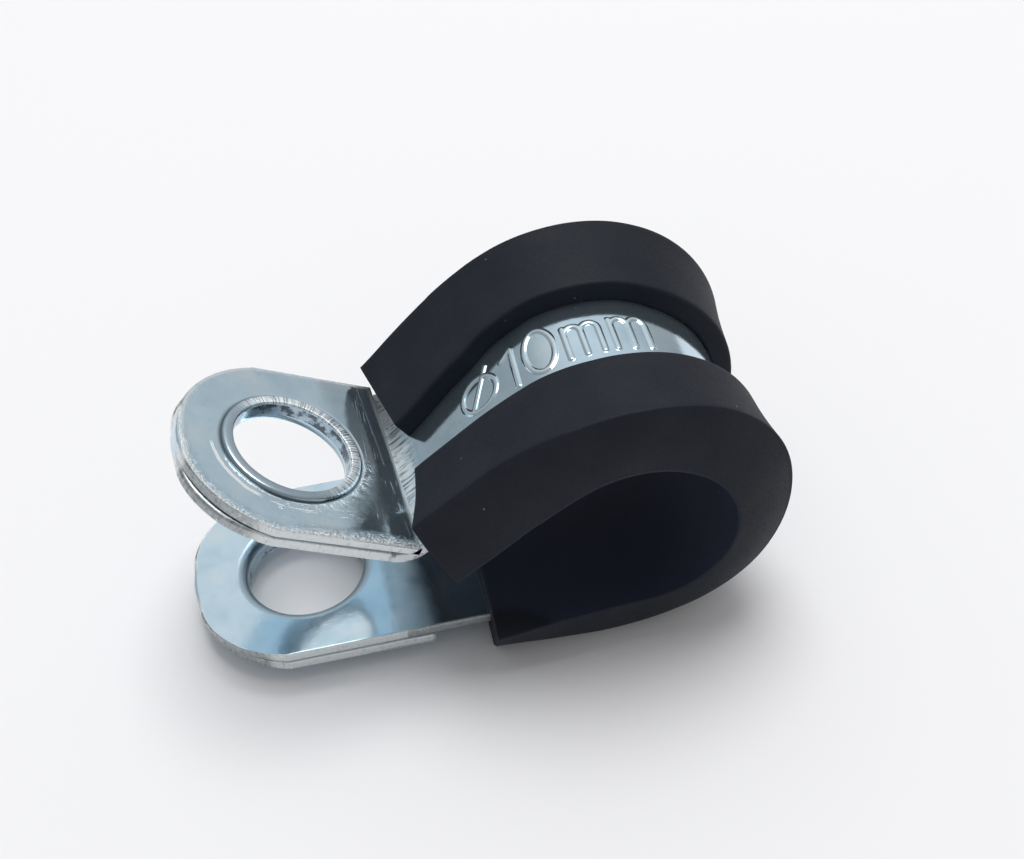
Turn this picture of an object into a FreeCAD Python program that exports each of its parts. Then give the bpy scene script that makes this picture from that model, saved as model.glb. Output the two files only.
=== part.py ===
# A rubber-lined P clip: one steel band bent to an open loop with two doubled tabs, and its rubber liner.
# X runs from the tabs to the loop, Y along the pipe, Z up; the origin is the centre of the pipe's bore.
import FreeCAD, Part
import os
import math
import Sketcher

V = FreeCAD.Vector
os.makedirs("parts", exist_ok=True)
doc = FreeCAD.newDocument("p_clip")
sheet = doc.addObject("Spreadsheet::Sheet", "Sizes")

SIZES = [
    ("band_width", "12 mm"),
    ("band_gauge", "0.6 mm"),
    ("bore_radius", "5.15 mm"),
    ("crown_radius", "5.53 mm"),
    ("flank_radius", "21.6 mm"),
    ("crown_start", "66 deg"),
    ("flank_start", "121 deg"),
    ("leg_start", "130.4 deg"),
    ("leg_reach", "6.36 mm"),
    ("tab_rise", "27.2 deg"),
    ("bend_radius", "1.2 mm"),
    ("upper_hole_reach", "6.04 mm"),
    ("lower_hole_reach", "17.2 mm"),
    ("hole_radius", "3.2 mm"),
    ("end_shoulder", "0.25 mm"),
    ("fold_gap", "0.05 mm"),
    ("fold_spring", "0.5 deg"),
    ("fold_reach", "5.7 mm"),
    ("collar_wall", "0.34 mm"),
    ("collar_slack", "0.03 mm"),
    ("lead_in", "0.6 mm"),
    ("rim_spread", "0.2 mm"),
    ("rim_height", "0.14 mm"),
    ("liner_base", "1.2 mm"),
    ("lip_edge_rise", "1.7 mm"),
    ("lip_window_rise", "1.2 mm"),
    ("liner_width_bore", "16.7 mm"),
    ("liner_width_lips", "14 mm"),
    ("window_width", "5 mm"),
    ("liner_slack", "0.03 mm"),
    ("lip_round", "0.3 mm"),
    ("side_bulge", "0.3 mm"),
    ("lower_cover", "7.8 mm"),
    ("upper_cover", "4.9 mm"),
    ("end_hollow", "0.8 mm"),
]
DERIVED = [
    ("mid_radius", "=bore_radius + liner_base + band_gauge / 2"),
    ("crown_mid", "=mid_radius + crown_radius - bore_radius"),
    ("flank_mid", "=crown_mid + flank_radius - crown_radius"),
    ("bend_turn", "=leg_start - 90 deg + tab_rise"),
    ("bend_mid", "=bend_radius + band_gauge / 2"),
    ("bend_run", "=bend_mid * tan(bend_turn / 2)"),
    ("fold_mid", "=(band_gauge + fold_gap) / 2"),
    ("end_radius", "=band_width / 2 + end_shoulder"),
    ("fold_inset", "=end_radius - band_gauge - fold_gap / 2"),
    ("fold_length", "=fold_inset + fold_reach"),
    ("fold_turn", "=180 deg - fold_spring"),
    ("layer_top", "=2 * band_gauge + fold_gap"),
    ("layer_hole", "=hole_radius + collar_wall + collar_slack"),
    ("collar_outer", "=hole_radius + collar_wall"),
    ("rim_radius", "=layer_hole + rim_spread"),
    ("rim_base", "=layer_top + (fold_inset + rim_radius) * sin(fold_spring) + collar_slack"),
    ("rim_top", "=rim_base + rim_height"),
    ("lead_radius", "=hole_radius + lead_in"),
    ("lip_height", "=liner_base + band_gauge + lip_edge_rise"),
    ("window_height", "=liner_base + band_gauge + lip_window_rise"),
    ("crown_x", "=(mid_radius - crown_mid) * cos(crown_start)"),
    ("crown_z", "=(mid_radius - crown_mid) * sin(crown_start)"),
    ("flank_x", "=crown_x + (crown_mid - flank_mid) * cos(flank_start)"),
    ("flank_z", "=crown_z + (crown_mid - flank_mid) * sin(flank_start)"),
    ("corner_x", "=flank_x + flank_mid * cos(leg_start) - leg_reach * sin(leg_start)"),
    ("corner_z", "=flank_z + flank_mid * sin(leg_start) + leg_reach * cos(leg_start)"),
    ("tip_x", "=-lower_hole_reach - fold_inset"),
    ("side_run", "=(liner_width_bore - liner_width_lips) / 2"),
    ("side_fall", "=lip_height - lip_round"),
    ("side_arc", "=((side_run ^ 2 + side_fall ^ 2) / 4 + side_bulge ^ 2) / (2 * side_bulge)"),
    ("hollow_half", "=liner_width_bore / 2 + side_bulge + 0.1 mm"),
    ("hollow_radius", "=(hollow_half ^ 2 + end_hollow ^ 2) / (2 * end_hollow)"),
]
for row, (name, text) in enumerate(SIZES + DERIVED, 1):
    sheet.set("A%d" % row, name)
    sheet.set("B%d" % row, text)
    sheet.setAlias("B%d" % row, name)
doc.recompute()


def size(name):
    value = sheet.get(name)
    return float(getattr(value, "Value", value))


def spell(text):
    """Puts the sheet's name before each alias in an expression."""
    out = []
    word = ""
    for ch in text + " ":
        if ch.isalnum() or ch == "_":
            word += ch
            continue
        out.append("Sizes." + word if word in NAMES else word)
        out.append(ch)
        word = ""
    return "".join(out).strip()


NAMES = {name for name, text in SIZES + DERIVED}


def amount(text):
    value = sheet.evalExpression(spell(text))
    return float(getattr(value, "Value", value))


def plane(body, role):
    return next(f for f in body.Origin.OriginFeatures if f.Role == role)


def new_sketch(body, label, role):
    sketch = body.newObject("Sketcher::SketchObject", label)
    sketch.AttachmentSupport = [(plane(body, role), "")]
    sketch.MapMode = "FlatFace"
    return sketch


def shift(sketch, x="0 mm", y="0 mm", z="0 mm", turn=None):
    """Moves a sketch within its plane, by expressions."""
    for axis, text in zip("xyz", (x, y, z)):
        if text != "0 mm":
            sketch.setExpression("AttachmentOffset.Base." + axis, spell(text))
    if turn:
        sketch.setExpression("AttachmentOffset.Rotation.Angle", spell(turn))


def hold(sketch, kind, *where, to=None):
    """Adds a constraint; with an expression it also takes its value from there."""
    if to is None:
        return sketch.addConstraint(Sketcher.Constraint(kind, *where))
    value = amount(to)
    if kind == "Angle":
        value = math.radians(value)
    index = sketch.addConstraint(Sketcher.Constraint(kind, *where, value))
    sketch.setExpression("Constraints[%d]" % index, spell(to))
    return index


def pin(sketch, geo, pos, x, y):
    """Places a point by two expressions measured from the sketch's origin."""
    for kind, text, axis in (("DistanceX", x, -2), ("DistanceY", y, -1)):
        value = amount(text)
        if abs(value) < 1e-9:
            hold(sketch, "PointOnObject", geo, pos, axis)
        elif value > 0:
            hold(sketch, kind, -1, 1, geo, pos, to=text)
        else:
            hold(sketch, kind, geo, pos, -1, 1, to="-(" + text + ")")


def outline(sketch, points, arcs=None):
    """Closed outline through points given as expressions; arcs maps a side to (radius, side of bulge)."""
    arcs = arcs or {}
    at = [V(amount(x), amount(y), 0) for x, y in points]
    ends = []
    for i, start in enumerate(at):
        stop = at[(i + 1) % len(at)]
        if i in arcs:
            radius = amount(arcs[i][0])
            chord = stop - start
            half = chord.Length / 2
            sag = radius - math.sqrt(max(radius ** 2 - half ** 2, 0))
            across = V(-chord.y, chord.x, 0).normalize() * sag * arcs[i][1]
            curve = Part.Arc(start, (start + stop) / 2 + across, stop)
            geo = sketch.addGeometry(curve, False)
            flip = (sketch.getPoint(geo, 1) - start).Length > 1e-6
            ends.append((geo, 2 if flip else 1, 1 if flip else 2))
        else:
            geo = sketch.addGeometry(Part.LineSegment(start, stop), False)
            ends.append((geo, 1, 2))
    for i, (geo, first, last) in enumerate(ends):
        after = ends[(i + 1) % len(ends)]
        hold(sketch, "Coincident", geo, last, after[0], after[1])
    for i, (x, y) in enumerate(points):
        pin(sketch, ends[i][0], ends[i][1], x, y)
    for i, (text, side) in arcs.items():
        hold(sketch, "Radius", ends[i][0], to=text)


def chain(sketch, start, heading, steps):
    """Draws a chain of tangent lines and arcs: ("line", length) or ("left"/"right", radius, span)."""
    at = V(start[0], start[1], 0)
    turn = math.radians(heading)
    made = []
    for step in steps:
        ahead = V(math.cos(turn), math.sin(turn), 0)
        if step[0] == "line":
            stop = at + ahead * amount(step[1])
            geo = sketch.addGeometry(Part.LineSegment(at, stop), False)
            made.append((geo, 1, 2, step))
            at = stop
            continue
        radius = amount(step[1])
        span = math.radians(amount(step[2]))
        side = 1 if step[0] == "left" else -1
        across = V(-ahead.y, ahead.x, 0) * side
        centre = at + across * radius
        angle = math.atan2(-across.y, -across.x)
        low, high = (angle, angle + span) if side > 0 else (angle - span, angle)
        circle = Part.Circle(centre, V(0, 0, 1), radius)
        geo = sketch.addGeometry(Part.ArcOfCircle(circle, low, high), False)
        made.append((geo, 1 if side > 0 else 2, 2 if side > 0 else 1, step))
        turn += side * span
        at = centre + V(math.cos(angle + side * span), math.sin(angle + side * span), 0) * radius
    for one, two in zip(made, made[1:]):
        hold(sketch, "Tangent", one[0], one[2], two[0], two[1])
    for geo, first, last, step in made:
        if step[0] == "line":
            hold(sketch, "Distance", geo, to=step[1])
        else:
            hold(sketch, "Radius", geo, to=step[1])
            hold(sketch, "Angle", geo, to=step[2])
    return made


LOOP = [
    ("left", "mid_radius", "crown_start + 90 deg"),
    ("left", "crown_mid", "flank_start - crown_start"),
    ("left", "flank_mid", "leg_start - flank_start"),
]


def sweep(body, label, profile, spine):
    pipe = body.newObject("PartDesign::AdditivePipe", label)
    pipe.Profile = profile
    pipe.Spine = (spine, [])
    body.Tip = pipe
    profile.Visibility = False
    return pipe


def tilt_sketch(sketch, axis, start):
    """Gives a sketch's offset a turning axis; the angle may then follow an expression."""
    sketch.AttachmentOffset = FreeCAD.Placement(V(0, 0, 0), FreeCAD.Rotation(axis, start))


def side_frame(sketch, tab):
    """Sets a side sketch in a tab's axes: the hole's axis is vertical, the leg's inner face is the base line."""
    if tab == "lower":
        shift(sketch, "-lower_hole_reach", "-bore_radius - liner_base", turn="180 deg")
    else:
        shift(sketch,
              "corner_x - upper_hole_reach * cos(tab_rise) - band_gauge / 2 * sin(tab_rise)",
              "corner_z + upper_hole_reach * sin(tab_rise) - band_gauge / 2 * cos(tab_rise)",
              turn="-tab_rise")


def plan_frame(sketch, tab, lift):
    """Sets a plan sketch square to a tab's hole, lifted outwards from the leg's inner face."""
    if tab == "lower":
        tilt_sketch(sketch, V(1, 0, 0), 180)
        shift(sketch, "-lower_hole_reach", "0 mm", "-bore_radius - liner_base - (" + lift + ")")
    else:
        tilt_sketch(sketch, V(0, 1, 0), size("tab_rise"))
        shift(sketch,
              "corner_x - upper_hole_reach * cos(tab_rise) + (" + lift + " - band_gauge / 2) * sin(tab_rise)",
              "0 mm",
              "corner_z + upper_hole_reach * sin(tab_rise) + (" + lift + " - band_gauge / 2) * cos(tab_rise)",
              turn="tab_rise")


def cut(body, sketch, label, depth, outward):
    pocket = body.newObject("PartDesign::Pocket", label)
    pocket.Profile = sketch
    pocket.Length = amount(depth)
    pocket.setExpression("Length", spell(depth))
    pocket.Reversed = outward
    body.Tip = pocket
    sketch.Visibility = False


# The band, swept from the free end of the lower doubled layer to that of the upper one.
band = doc.addObject("PartDesign::Body", "strap")
line = new_sketch(band, "band_line", "XZ_Plane")
spring = math.radians(size("fold_spring"))
start_x = size("tip_x") - size("fold_mid") * math.sin(spring) + size("fold_length") * math.cos(spring)
start_z = -size("mid_radius") - size("fold_mid") * (1 + math.cos(spring)) - size("fold_length") * math.sin(spring)
made = chain(line, (start_x, start_z), 180 - size("fold_spring"), [
    ("line", "fold_length"),
    ("right", "fold_mid", "fold_turn"),
    ("line", "-tip_x"),
] + LOOP + [
    ("line", "leg_reach - bend_run"),
    ("right", "bend_mid", "bend_turn"),
    ("line", "upper_hole_reach - bend_run + fold_inset"),
    ("right", "fold_mid", "fold_turn"),
    ("line", "fold_length"),
])
hold(line, "Horizontal", made[2][0])
hold(line, "Coincident", made[3][0], 3, -1, 1)
section = new_sketch(band, "band_section", "YZ_Plane")
shift(section,
      z="tip_x - fold_mid * sin(fold_spring) + fold_length * cos(fold_spring)",
      y="-mid_radius - fold_mid * (1 + cos(fold_spring)) - fold_length * sin(fold_spring)")
outline(section, [
    ("-band_width / 2", "-band_gauge / 2"),
    ("band_width / 2", "-band_gauge / 2"),
    ("band_width / 2", "band_gauge / 2"),
    ("-band_width / 2", "band_gauge / 2"),
])
sweep(band, "band", section, line)

for tab in ("lower", "upper"):
    # round end of both layers, struck from the hole's centre
    ends = new_sketch(band, tab + "_end_line", "XY_Plane")
    plan_frame(ends, tab, "-0.5 mm")
    corner = "-sqrt(end_radius ^ 2 - (band_width / 2) ^ 2)"
    outline(ends, [
        (corner, "band_width / 2"),
        (corner, "band_width / 2 + 1 mm"),
        ("-end_radius - 1 mm", "band_width / 2 + 1 mm"),
        ("-end_radius - 1 mm", "-band_width / 2 - 1 mm"),
        (corner, "-band_width / 2 - 1 mm"),
        (corner, "-band_width / 2"),
    ], {5: ("end_radius", 1)})
    cut(band, ends, tab + "_end", "layer_top + 1.5 mm", True)
    # the hole in the leg, and the larger one in the layer doubled over it
    for layer, radius, outward in (("leg", "lead_radius", False), ("layer", "layer_hole", True)):
        ring = new_sketch(band, tab + "_" + layer + "_circle", "XY_Plane")
        plan_frame(ring, tab, "band_gauge + fold_gap / 2")
        geo = ring.addGeometry(Part.Circle(V(0, 0, 0), V(0, 0, 1), size(radius)), False)
        hold(ring, "Coincident", geo, 3, -1, 1)
        hold(ring, "Radius", geo, to=radius)
        cut(band, ring, tab + "_" + layer + "_hole", "2 * band_gauge", outward)
    # collar drawn from the leg, through the layer and spread over it
    shape = new_sketch(band, tab + "_collar_section", "XZ_Plane")
    side_frame(shape, tab)
    outline(shape, [
        ("lead_radius", "0 mm"),
        ("lead_radius + band_gauge / 2", "0 mm"),
        ("lead_radius + band_gauge / 2", "band_gauge"),
        ("collar_outer", "band_gauge"),
        ("collar_outer", "rim_base"),
        ("rim_radius", "rim_base"),
        ("rim_radius", "rim_top - rim_height / 2"),
        ("rim_radius - rim_height / 2", "rim_top"),
        ("hole_radius + rim_height / 2", "rim_top"),
        ("hole_radius", "rim_top - rim_height / 2"),
        ("hole_radius", "lead_in"),
    ], {10: ("lead_in", -1)})
    collar = band.newObject("PartDesign::Revolution", tab + "_collar")
    collar.Profile = shape
    collar.ReferenceAxis = (shape, ["V_Axis"])
    collar.Angle = 360
    band.Tip = collar
    shape.Visibility = False

# The liner: base, sides and two lips in one section, swept over the band and hollowed at its upper end.
liner = doc.addObject("PartDesign::Body", "rubber_liner")
line = new_sketch(liner, "liner_line", "XZ_Plane")
made = chain(line, (-size("lower_cover"), -size("mid_radius")), 0,
             [("line", "lower_cover")] + LOOP + [("line", "upper_cover")])
hold(line, "Horizontal", made[0][0])
hold(line, "Coincident", made[1][0], 3, -1, 1)
section = new_sketch(liner, "liner_section", "YZ_Plane")
shift(section, z="-lower_cover")
right = [
    ("liner_width_bore / 2", "-bore_radius"),
    ("liner_width_lips / 2", "-bore_radius - lip_height + lip_round"),
    ("liner_width_lips / 2 - lip_round", "-bore_radius - lip_height"),
    ("window_width / 2 + lip_round / 2", "-bore_radius - window_height"),
    ("window_width / 2", "-bore_radius - window_height + lip_round / 2"),
    ("window_width / 2", "-bore_radius - liner_base - band_gauge - liner_slack"),
    ("band_width / 2 + liner_slack", "-bore_radius - liner_base - band_gauge - liner_slack"),
    ("band_width / 2 + liner_slack", "-bore_radius - liner_base + liner_slack"),
]
left = [("-(" + x + ")", y) for x, y in reversed(right)]
outline(section, right + left, {0: ("side_arc", 1), len(right) * 2 - 2: ("side_arc", 1)})
sweep(liner, "liner", section, line)

hollow = new_sketch(liner, "upper_hollow_line", "XY_Plane")
tilt_sketch(hollow, V(0, 1, 0), 90 - size("leg_start"))
shift(hollow,
      "flank_x + (flank_radius - liner_base / 2) * cos(leg_start) - upper_cover * sin(leg_start)",
      "0 mm",
      "flank_z + (flank_radius - liner_base / 2) * sin(leg_start) + upper_cover * cos(leg_start)",
      turn="90 deg - leg_start")
outline(hollow, [
    ("0 mm", "hollow_half"),
    ("-end_hollow", "hollow_half"),
    ("-end_hollow", "-hollow_half"),
    ("0 mm", "-hollow_half"),
], {3: ("hollow_radius", -1)})
cut(liner, hollow, "upper_hollow", "lip_height + liner_base", True)

doc.recompute()
for thing in doc.Objects:
    if "Invalid" in thing.State or "Error" in thing.State:
        raise RuntimeError(thing.Name + " did not build: " + str(thing.State))
for body in (band, liner):
    shape = body.Shape
    if not shape.isValid() or len(shape.Solids) != 1:
        raise RuntimeError(body.Name + " is not one valid solid")
    shape.exportStep("parts/" + body.Name + ".step")
    print(body.Name, round(shape.Volume, 2), "mm3", shape.BoundBox)
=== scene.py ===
from functools import partial
import math
import bpy
import bmesh
import numpy as np
from mathutils import Matrix, Vector


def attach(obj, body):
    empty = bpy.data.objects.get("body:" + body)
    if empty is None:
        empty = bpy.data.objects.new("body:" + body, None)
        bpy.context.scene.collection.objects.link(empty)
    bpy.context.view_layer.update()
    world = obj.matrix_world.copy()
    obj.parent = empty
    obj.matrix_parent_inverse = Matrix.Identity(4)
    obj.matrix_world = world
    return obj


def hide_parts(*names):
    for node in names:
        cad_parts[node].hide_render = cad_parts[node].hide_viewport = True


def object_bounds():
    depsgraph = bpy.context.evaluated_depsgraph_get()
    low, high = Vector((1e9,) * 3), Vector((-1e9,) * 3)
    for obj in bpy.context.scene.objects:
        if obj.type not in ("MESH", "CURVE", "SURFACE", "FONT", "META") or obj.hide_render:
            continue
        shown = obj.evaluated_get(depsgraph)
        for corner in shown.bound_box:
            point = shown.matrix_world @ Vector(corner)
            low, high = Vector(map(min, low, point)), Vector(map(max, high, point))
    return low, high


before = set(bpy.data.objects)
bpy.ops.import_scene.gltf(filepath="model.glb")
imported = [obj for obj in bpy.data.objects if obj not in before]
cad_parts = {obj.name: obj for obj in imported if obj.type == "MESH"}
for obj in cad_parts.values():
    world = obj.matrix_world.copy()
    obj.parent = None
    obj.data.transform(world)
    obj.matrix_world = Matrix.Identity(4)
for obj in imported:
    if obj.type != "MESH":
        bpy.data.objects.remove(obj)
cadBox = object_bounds()
scene = bpy.context.scene
scene.view_settings.view_transform = "Standard"
metre = 0.001
print("frame loaded:", sorted(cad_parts))

view = {
    "place": (-15.620, -61.003, 64.745),
    "azimuth": -9.928,
    "elevation": 45.681,
    "roll": 3.513,
    "focal": 1652.149,        # in pixels of a picture 1024 wide
    "width": 1024,
    "sensor": 36.0,
}
band = {
    "width": 12.0,
    "gauge": 0.6,
    "edgeRound": 0.07,
    "boreRadius": 5.15,
    "crownRadius": 5.53,
    "flankRadius": 21.6,
    "crownStart": 66.0,
    "flankStart": 121.0,
    "legStart": 130.4,
    "linerBase": 1.2,
    "legReach": 6.36,
    "tabRise": 27.2,
    "bendRadius": 1.2,
    "upperHoleReach": 6.04,
    "lowerHoleReach": 17.2,
    "joint": 4.9,             # where the tab's plate gives way to the plain strip, from the hole
    "spacing": 0.3,
    "arcStep": 0.035,         # the largest turn between two places on an arc, in radians
    # from the bend's middle its look is whole up to the first distance and gone at the second
    "bendLoopSide": (1.2, 2.2),
    "bendTabSide": (0.7, 1.2),
}
tabs = {
    "hole": 3.2,
    "leadIn": 0.6,
    "foldGap": 0.05,
    "foldSpring": 0.5,        # degrees that the doubled layer opens
    "foldEnd": 5.86,
    "foldSlant": -0.075,
    "gapDepth": 0.9,
    "gapDepthEnd": 1.45,
    "ringOuter": 3.78,
    "ringFoot": 1.33,
    "ringEdge": 1.45,
    "ringTop": 1.502,
    "grooveEnd": 3.95,
    "rimRound": 0.09,
    "rimBreak": 0.04,
    "foldRound": 0.26,
    # from the tab's middle line the fold is whole up to foldFull, shut up to foldShut and gone at foldGone
    "foldFull": 0.4,
    "foldShut": 0.8,
    "foldGone": 3.2,
    # the leg stands out beyond the doubled layer round the tip: from shelfStart, all of it at shelfFull,
    # and it fades over the last shelfFade before the side
    "shelf": 0.18,
    "shelfStart": 0.7,
    "shelfFull": 3.4,
    "shelfFade": 1.2,
    "legRound": 0.2,
    "punchFade": 0.6,         # the punched edge's look gives way to the slit edge's over this much
    "swirlRound": 3.5,        # the draw lines' field: how fast it runs round the hole and away from it
    "swirlAway": 0.15,
    # values of the field ring on the hole's wall, in the groove and on the rolled rim
    "wallLook": 0.35,
    "grooveLook": 0.6,
    "rimLook": 1.0,
    "pressedFull": 0.4,
    "pressedGone": 2.6,
    "sideStations": 34,
    "tipStations": 128,
}
upperTab = {"endRadius": 6.17}
lowerTab = {"endRadius": 6.24}


def linearColour(hexText):
    # sRGB hex to linear light
    parts = [int(hexText[i:i + 2], 16) / 255 for i in (1, 3, 5)]
    return tuple(c / 12.92 if c <= 0.04045 else ((c + 0.055) / 1.055) ** 2.4 for c in parts) + (1.0,)


def gridQuads(rows, columns, wrap):
    # quads of a rows x columns grid of points; wrap joins the last column to the first
    r = np.arange(rows - 1)[:, None] * columns
    c = np.arange(columns if wrap else columns - 1)[None, :]
    d = (c + 1) % columns
    return np.stack([r + c, r + d, r + columns + d, r + columns + c], -1).reshape(-1, 4)


vectorFields = ("flow", "swirl")
bandFields = vectorFields + ("sheared", "ring", "groove", "bend")


def makePiece(name, patches, fields=()):
    # joins patches (points in mm, wrap, field values) at their shared edges into one closed mesh;
    # points closer than a thousandth of a millimetre are one, and rounding starts off any round number
    points, quads, values, start = [], [], {f: [] for f in fields}, 0
    for patch in patches:
        p = patch["points"]
        points.append(p.reshape(-1, 3))
        quads.append(gridQuads(p.shape[0], p.shape[1], patch.get("wrap", False)) + start)
        for f in fields:
            wide = 3 if f in vectorFields else 1
            shape = p.shape[:2] + ((3,) if wide == 3 else ())
            values[f].append(np.broadcast_to(np.asarray(patch.get(f, 0.0), float), shape).reshape(-1, wide))
        start += p.shape[0] * p.shape[1]
    points, quads = np.concatenate(points), np.concatenate(quads)
    keys = np.round(points * 1000 + 0.237).astype(np.int64)
    first, where = np.unique(keys, axis=0, return_index=True, return_inverse=True)[1:]
    quads = where.reshape(-1)[quads]
    mesh = bpy.data.meshes.new(name)
    mesh.from_pydata((points[first] * metre).tolist(), [], [])
    work = bmesh.new()
    work.from_mesh(mesh)
    work.verts.ensure_lookup_table()
    corners = [list(dict.fromkeys(q)) for q in quads.tolist()]
    for q in corners:
        if len(q) > 2:
            work.faces.new([work.verts[i] for i in q])
    bmesh.ops.recalc_face_normals(work, faces=work.faces)
    work.to_mesh(mesh)
    work.free()
    for f in fields:
        data = np.concatenate(values[f])[first].astype(np.float32).ravel()
        isVector = f in vectorFields
        attribute = mesh.attributes.new(f, "FLOAT_VECTOR" if isVector else "FLOAT", "POINT")
        attribute.data.foreach_set("vector" if isVector else "value", data)
    mesh.polygons.foreach_set("use_smooth", np.ones(len(mesh.polygons), bool))
    piece = bpy.data.objects.new(name, mesh)
    scene.collection.objects.link(piece)
    print(name, len(mesh.vertices), "points", len(mesh.polygons), "faces")
    return piece


def blendStep(x, low, high):
    # smooth step from 0 at low to 1 at high
    t = np.clip((x - low) / (high - low), 0, 1)
    return t * t * (3 - 2 * t)


def runPath(start, heading, runs, spacing):
    # chain of tangent lines (radius 0) and arcs in the X-Z plane, as places, headings and distances:
    # on an arc the heading grows evenly with the distance
    places, turns, gone = [], [], []
    at, turn, total = np.array(start, float), math.radians(heading), 0.0
    for length, radius in runs:
        step = min(spacing, abs(radius) * band["arcStep"]) if radius else spacing
        s = np.linspace(0, length, max(2, int(math.ceil(length / step)) + 1))
        if radius:
            angle = turn + s / radius
            sweep = np.stack([np.sin(angle) - math.sin(turn), math.cos(turn) - np.cos(angle)], -1)
            place = at + radius * sweep
        else:
            angle = np.full(len(s), turn)
            place = at + s[:, None] * np.array([math.cos(turn), math.sin(turn)])
        keep = slice(0 if not places else 1, None)
        places.append(place[keep])
        turns.append(angle[keep])
        gone.append(total + s[keep])
        at, turn, total = place[-1], angle[-1], total + length
    return np.concatenate(places), np.concatenate(turns), np.concatenate(gone)


def edgeProfile(radius, low, high, steps=4):
    # from a face's inset line round the edge and up the wall to the other face:
    # quarter arc, wall, quarter arc, as distances outwards and heights
    a = np.linspace(0, math.pi / 2, steps + 1)
    wall = np.linspace(low + radius, high - radius, 4)[1:-1]
    out = np.concatenate([radius * np.sin(a), np.full(2, radius), radius * np.sin(a[::-1])])
    under = low + radius - radius * np.cos(a)
    over = high - radius + radius * np.cos(a[::-1])
    return out, np.concatenate([under, wall, over])


# the band's line, shared by every piece
midRadius = band["boreRadius"] + band["linerBase"] + band["gauge"] / 2
crownMid = midRadius + band["crownRadius"] - band["boreRadius"]
flankMid = crownMid + band["flankRadius"] - band["crownRadius"]
bendMid = band["bendRadius"] + band["gauge"] / 2
bendTurn = math.radians(band["legStart"] - 90 + band["tabRise"])
bendRun = bendMid * math.tan(bendTurn / 2)
loopRuns = [
    (midRadius * math.radians(90 + band["crownStart"]), midRadius),
    (crownMid * math.radians(band["flankStart"] - band["crownStart"]), crownMid),
    (flankMid * math.radians(band["legStart"] - band["flankStart"]), flankMid),
]
lowerRun = band["lowerHoleReach"] - band["joint"]
bandRuns = [(lowerRun, 0)] + loopRuns + [
    (band["legReach"] - bendRun, 0),
    (bendMid * bendTurn, -bendMid),
    (band["upperHoleReach"] - bendRun - band["joint"], 0),
]


def acrossSteps(half, edge):
    # places across the band: close together near both edges
    nearEdge = np.array([half - 0.3, half - edge - 0.04, half - edge])
    return np.concatenate([-nearEdge[::-1], np.linspace(-(half - 0.6), half - 0.6, 45), nearEdge])


def bandPoint(places, turns, across, height):
    # a point across the band and height above its inner face, outwards from the loop
    normal = np.stack([np.sin(turns), -np.cos(turns)], -1)
    flat = places[:, None, :] + (height - band["gauge"] / 2)[None, :, None] * normal[:, None, :]
    return np.stack([flat[..., 0], np.broadcast_to(across, flat.shape[:2]), flat[..., 1]], -1)


def alongTab(gone):
    # distance from the nearer hole, as on the tabs, so that the plating's pattern runs on
    return band["joint"] + np.minimum(gone, sum(run[0] for run in bandRuns) - gone)


def stripPatch(places, turns, gone):
    # the strip's closed section carried along the line
    half, edge, gauge = band["width"] / 2, band["edgeRound"], band["gauge"]
    v = acrossSteps(half, edge)
    out, rise = edgeProfile(edge, 0, gauge)
    across = np.concatenate([v, half - edge + out[1:-1], v[::-1], -(half - edge + out[1:-1])])
    height = np.concatenate([np.zeros(len(v)), rise[1:-1], np.full(len(v), gauge), rise[1:-1][::-1]])
    points = bandPoint(places, turns, across, height)
    wallMask = (np.abs(across) > half - edge - 0.001).astype(float)
    bendMiddle = sum(run[0] for run in bandRuns[:-2]) + bendMid * bendTurn / 2
    loopSide = 1 - blendStep(bendMiddle - gone, *band["bendLoopSide"])
    tabSide = 1 - blendStep(gone - bendMiddle, *band["bendTabSide"])
    flow = np.stack(np.broadcast_arrays(alongTab(gone)[:, None], across[None, :], height[None, :]), -1)
    return {
        "points": points,
        "wrap": True,
        "flow": flow,
        "sheared": np.broadcast_to(wallMask, points.shape[:2]),
        "bend": (loopSide * tabSide)[:, None] * np.ones(len(across)),
    }


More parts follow.
